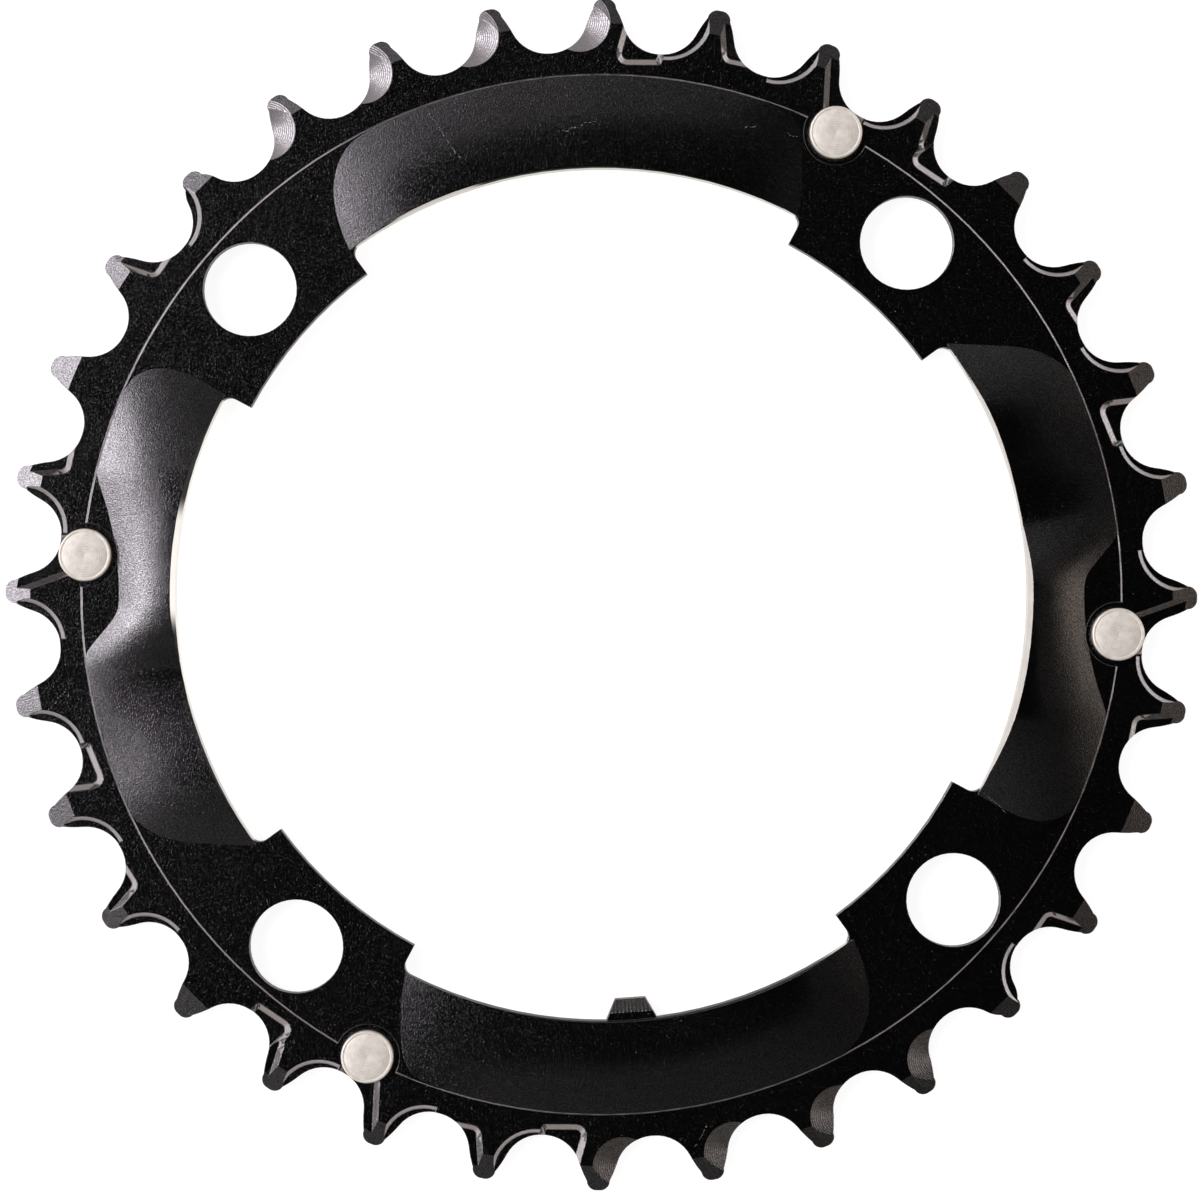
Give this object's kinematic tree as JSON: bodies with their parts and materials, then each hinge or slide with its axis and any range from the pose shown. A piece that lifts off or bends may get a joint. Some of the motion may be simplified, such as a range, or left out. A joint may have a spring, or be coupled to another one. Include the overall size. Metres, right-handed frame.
{
  "type": "bicycle chainring",
  "caption": "Flat toothed ring that carries a bicycle chain, with bolt tabs round an open middle, shift ramps beside the teeth and riveted pick-up pins.",
  "frame": {"origin": "centre of the bolt circle, on the flat back face that seats on the crank spider", "axes": "+Z along the ring's axis, out of the face with the ramps and pins; -Y through the crank locating tab; the bolt holes lie on the diagonals of X and Y"},
  "size_m": [0.1328, 0.1328, 0.0046],
  "materials": {
    "anodised_plate": "black anodised, finely blasted",
    "pin_steel": "turned, bare"
  },
  "bodies": {
    "root": {"chainring_plate": "anodised_plate", "pickup_pin_1": "pin_steel", "pickup_pin_2": "pin_steel", "pickup_pin_3": "pin_steel", "pickup_pin_4": "pin_steel"}
  },
  "joints": []
}
